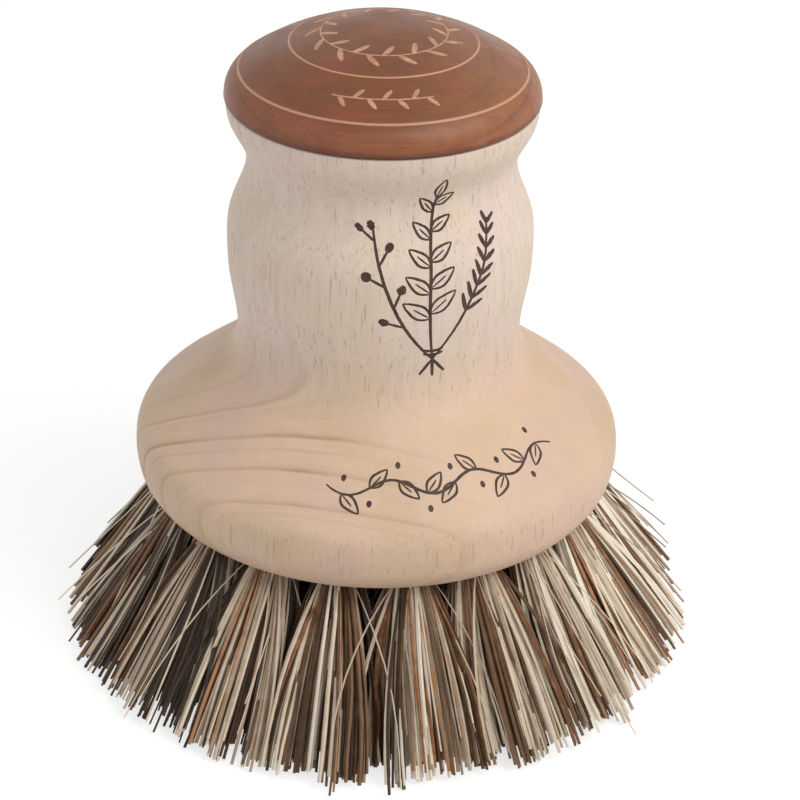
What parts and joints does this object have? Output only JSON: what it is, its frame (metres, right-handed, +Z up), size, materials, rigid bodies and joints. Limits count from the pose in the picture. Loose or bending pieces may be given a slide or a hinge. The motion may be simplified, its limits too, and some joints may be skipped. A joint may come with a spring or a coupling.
{
  "type": "pot brush",
  "caption": "Round hand brush for scrubbing pots: a turned wooden block with a barrel grip and a stained domed cap, and a skirt of stiff plant fibre tufts held by wire staples.",
  "frame": {"origin": "middle of the brush's footprint on the floor, at the level of the cut bristle ends", "axes": "+Z up the brush's axis, from the bristle ends to the crown of the cap; -Y is the side that faces the camera"},
  "size_m": [0.0854, 0.084, 0.0848],
  "materials": {
    "beech": "sanded, bare",
    "stained_beech": "brown stain, satin",
    "fibre": "stiff mixed plant fibre",
    "staple_wire": "drawn wire"
  },
  "bodies": {
    "root": {"wood_body": "beech", "stained_cap": "stained_beech", "tuft_outer_01": "fibre", "tuft_outer_02": "fibre", "tuft_outer_03": "fibre", "tuft_outer_04": "fibre", "tuft_outer_05": "fibre", "tuft_outer_06": "fibre", "tuft_outer_07": "fibre", "tuft_outer_08": "fibre", "tuft_outer_09": "fibre", "tuft_outer_10": "fibre", "tuft_outer_11": "fibre", "tuft_outer_12": "fibre", "tuft_outer_13": "fibre", "tuft_outer_14": "fibre", "tuft_outer_15": "fibre", "tuft_outer_16": "fibre", "tuft_outer_17": "fibre", "tuft_outer_18": "fibre", "tuft_middle_01": "fibre", "tuft_middle_02": "fibre", "tuft_middle_03": "fibre", "tuft_middle_04": "fibre", "tuft_middle_05": "fibre", "tuft_middle_06": "fibre", "tuft_middle_07": "fibre", "tuft_middle_08": "fibre", "tuft_centre_01": "fibre", "tuft_centre_02": "fibre", "tuft_centre_03": "fibre", "staple_outer_01": "staple_wire", "staple_outer_02": "staple_wire", "staple_outer_03": "staple_wire", "staple_outer_04": "staple_wire", "staple_outer_05": "staple_wire", "staple_outer_06": "staple_wire", "staple_outer_07": "staple_wire", "staple_outer_08": "staple_wire", "staple_outer_09": "staple_wire", "staple_outer_10": "staple_wire", "staple_outer_11": "staple_wire", "staple_outer_12": "staple_wire", "staple_outer_13": "staple_wire", "staple_outer_14": "staple_wire", "staple_outer_15": "staple_wire", "staple_outer_16": "staple_wire", "staple_outer_17": "staple_wire", "staple_outer_18": "staple_wire", "staple_middle_01": "staple_wire", "staple_middle_02": "staple_wire", "staple_middle_03": "staple_wire", "staple_middle_04": "staple_wire", "staple_middle_05": "staple_wire", "staple_middle_06": "staple_wire", "staple_middle_07": "staple_wire", "staple_middle_08": "staple_wire", "staple_centre_01": "staple_wire", "staple_centre_02": "staple_wire", "staple_centre_03": "staple_wire"}
  },
  "joints": []
}
